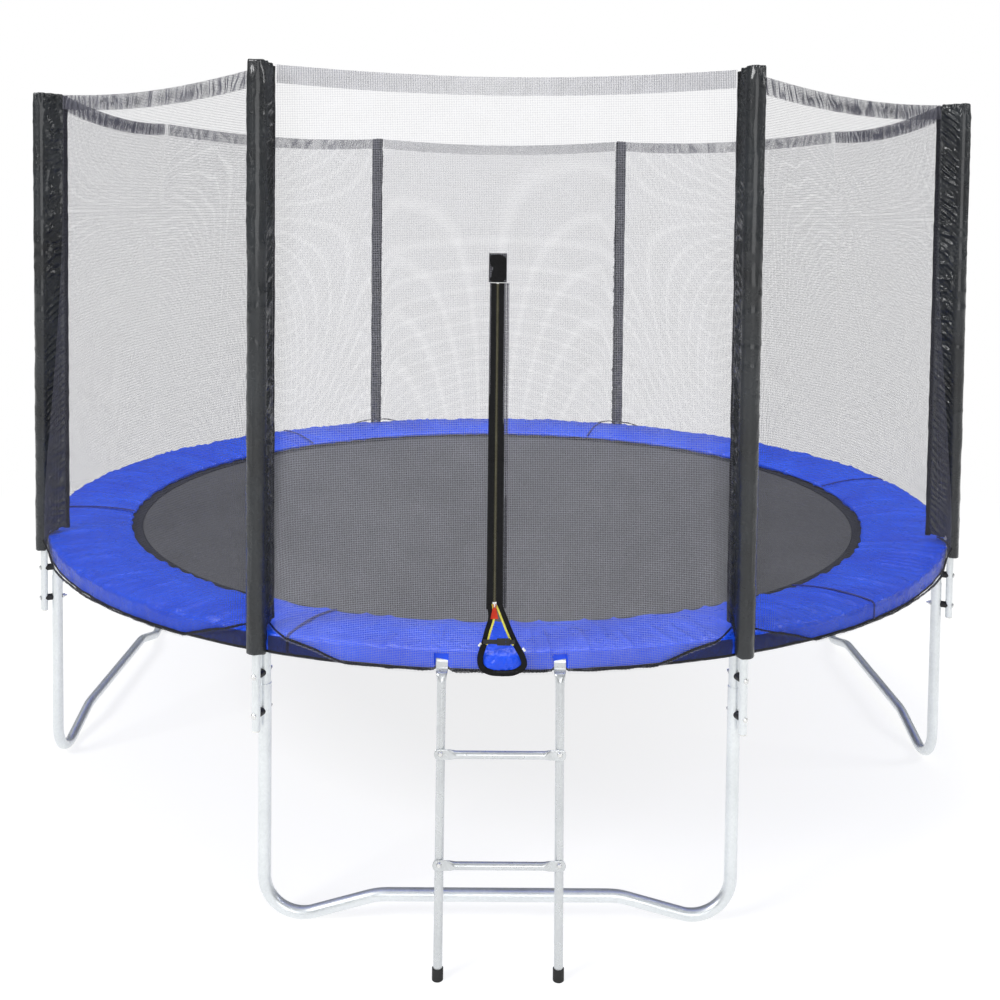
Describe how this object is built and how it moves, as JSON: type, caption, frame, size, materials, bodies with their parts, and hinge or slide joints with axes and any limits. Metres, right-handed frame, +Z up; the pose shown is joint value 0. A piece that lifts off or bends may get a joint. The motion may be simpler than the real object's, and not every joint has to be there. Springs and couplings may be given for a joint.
{
  "type": "trampoline",
  "caption": "Round garden trampoline with W-shaped tube legs, padded spring ring, woven mat, netted enclosure on padded poles, zipped door and hook-on ladder.",
  "frame": {"origin": "centre of the ring, at floor level", "axes": "+Z up through the middle of the mat; -Y towards the door and the ladder; +X to the right when facing the door"},
  "size_m": [3.732, 3.8215, 2.53],
  "materials": {
    "galvanised_tube": "galvanised, satin with a faint mottle",
    "zinc_fasteners": "bright zinc plate",
    "ladder_tube": "galvanised, satin",
    "spring_steel": "zinc-plated wire",
    "pale_plastic": "moulded, matt",
    "black_plastic": "moulded, fine texture",
    "foam": "pale closed-cell foam",
    "cover_vinyl": "glossy coated fabric, wrinkled",
    "pad_vinyl": "glossy coated fabric, wrinkled",
    "mat_weave": "tight woven polypropylene",
    "black_webbing": "woven tape",
    "net_mesh": "fine open mesh",
    "zip_teeth": "moulded coil",
    "red_tag": "woven tape",
    "foot_rubber": "matt rubber"
  },
  "bodies": {
    "frame": {"rail_1": "galvanised_tube", "rail_2": "galvanised_tube", "rail_3": "galvanised_tube", "rail_4": "galvanised_tube", "rail_5": "galvanised_tube", "rail_6": "galvanised_tube", "rail_7": "galvanised_tube", "rail_8": "galvanised_tube", "tee_joints": "galvanised_tube", "leg_uprights": "galvanised_tube", "leg_bends_front": "galvanised_tube", "leg_bends_right": "galvanised_tube", "leg_bends_rear": "galvanised_tube", "leg_bends_left": "galvanised_tube", "leg_centre_tubes": "galvanised_tube", "frame_screws": "zinc_fasteners", "pole_lower_tubes": "galvanised_tube", "pole_upper_tubes": "galvanised_tube", "pole_end_plugs": "pale_plastic", "pole_spacers": "black_plastic", "pole_bolts": "zinc_fasteners", "pole_nuts": "zinc_fasteners", "pole_foam": "foam", "pole_caps": "black_plastic", "pole_cover_1": "cover_vinyl", "pole_cover_2": "cover_vinyl", "pole_cover_3": "cover_vinyl", "pole_cover_4": "cover_vinyl", "pole_cover_5": "cover_vinyl", "pole_cover_6": "cover_vinyl", "spring_pad": "pad_vinyl", "springs": "spring_steel", "net_front": "net_mesh", "net_right_front": "net_mesh", "net_right_side": "net_mesh", "net_right_rear": "net_mesh", "net_rear": "net_mesh", "net_left_rear": "net_mesh", "net_left_side": "net_mesh", "net_left_front": "net_mesh", "zip_tape_left": "black_webbing", "zip_tape_right": "black_webbing", "zip_coil": "zip_teeth", "zip_patch": "black_webbing", "zip_keeper": "black_webbing", "buckle_socket": "black_plastic"},
    "mat": {"mat": "mat_weave", "mat_webbing": "black_webbing", "v_rings": "spring_steel"},
    "ladder": {"ladder_rail_left": "ladder_tube", "ladder_rail_right": "ladder_tube", "rung_upper": "ladder_tube", "rung_lower": "ladder_tube", "ladder_bolts": "zinc_fasteners", "ladder_feet": "foot_rubber"},
    "zip_slider": {"zip_slider": "zinc_fasteners"},
    "zip_pull": {"zip_pull": "red_tag"},
    "buckle_tongue": {"buckle_tongue": "black_plastic"}
  },
  "joints": [
    {"name": "mat_bounce", "type": "slide", "parent": "frame", "child": "mat", "axis": [0, 0, 1], "range_m": [-0.25, 0], "stiffness_N_per_m": 5000, "springref_m": 0.06},
    {"name": "ladder_swing", "type": "hinge", "parent": "frame", "child": "ladder", "pos_m": [0, -1.80237, 0.835], "axis": [-1, 0, 0], "range_deg": [0, 60]},
    {"name": "zip_travel", "type": "slide", "parent": "frame", "child": "zip_slider", "axis": [0, 0.1315, 0.9913], "range_m": [0, 0.88]},
    {"name": "pull_flip", "type": "hinge", "parent": "zip_slider", "child": "zip_pull", "pos_m": [-0.02, -1.84734, 1.01036], "axis": [-1, 0, 0], "range_deg": [0, 150]},
    {"name": "buckle_release", "type": "slide", "parent": "frame", "child": "buckle_tongue", "axis": [1, 0, 0], "range_m": [0, 0.03]}
  ]
}
